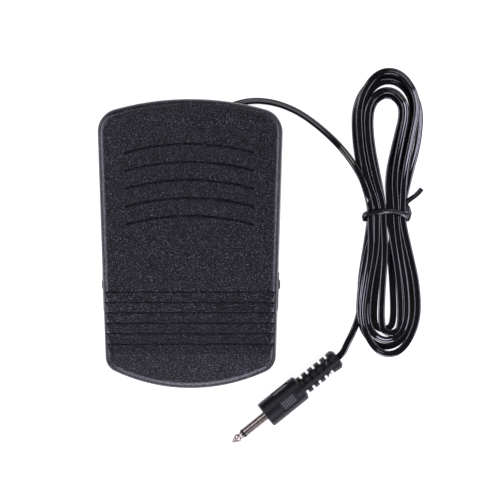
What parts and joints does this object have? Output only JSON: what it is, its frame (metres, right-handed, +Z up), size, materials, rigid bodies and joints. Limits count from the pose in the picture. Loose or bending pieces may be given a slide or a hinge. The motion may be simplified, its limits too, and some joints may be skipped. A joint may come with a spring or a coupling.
{
  "type": "sewing machine foot pedal",
  "caption": "Sprung on-off foot pedal with a hinged ribbed cover over a switch base, and a thin twin cord in a tied hank ending in a small jack plug.",
  "frame": {"origin": "centre of the pedal's footprint, on the floor under its rubber feet", "axes": "+Y towards the toe end where the cord leaves, +X towards the side where the hank lies, +Z up"},
  "size_m": [0.1309, 0.1419, 0.0269],
  "materials": {
    "cover_abs": "spark-grained black ABS",
    "base_abs": "fine-grained black ABS",
    "foot_rubber": "matt black rubber",
    "switch_black": "moulded black polyester",
    "switch_red": "moulded red button",
    "bright_steel": "rolled steel",
    "zinc_steel": "zinc plated",
    "tinned_brass": "tinned",
    "solder": "satin solder",
    "cord_pvc": "glossy black PVC",
    "core_red": "red PVC",
    "core_black": "black PVC",
    "tie_pvc": "plastic coated wire",
    "nickel_plate": "nickel plated brass",
    "ring_black": "moulded black insulator",
    "plug_pvc": "satin black PVC moulding"
  },
  "bodies": {
    "base": {"base_shell": "base_abs", "rubber_feet": "foot_rubber", "switch_case": "switch_black", "switch_lid": "switch_black", "lever_pin": "bright_steel", "switch_terminals": "tinned_brass", "switch_screws": "zinc_steel", "clamp_bar": "base_abs", "clamp_screws": "zinc_steel", "return_spring": "bright_steel", "cord_inner": "cord_pvc", "cord_lead_in": "cord_pvc", "cord_hank": "cord_pvc", "cord_lead_out": "cord_pvc", "cord_tie": "tie_pvc", "core_left": "core_red", "core_right": "core_black", "solder_joints": "solder", "plug_tip": "nickel_plate", "plug_insulator": "ring_black", "plug_sleeve": "nickel_plate", "plug_moulding": "plug_pvc"},
    "cover": {"top_cover": "cover_abs"},
    "switch_arm": {"switch_lever": "bright_steel"},
    "switch_push": {"switch_button": "switch_red"}
  },
  "joints": [
    {"name": "pedal_tilt", "type": "hinge", "parent": "base", "child": "cover", "pos_m": [0, -0.0153, 0.01], "axis": [-1, 0, 0], "range_deg": [0, 4], "stiffness_Nm_per_rad": 4.3, "springref_deg": -4.01, "deforming": ["return_spring"]},
    {"name": "lever_tilt", "type": "hinge", "parent": "base", "child": "switch_arm", "pos_m": [-0.0056, 0.003, 0.01555], "axis": [0, 1, 0], "range_deg": [0, 6.2]},
    {"name": "button_press", "type": "slide", "parent": "base", "child": "switch_push", "axis": [0, 0, -1], "range_m": [0, 0.00046]}
  ],
  "couplings": [
    {"joint": "lever_tilt", "follows": "pedal_tilt", "ratio": 1.54},
    {"joint": "button_press", "follows": "pedal_tilt", "m_per_rad": 0.00653}
  ]
}
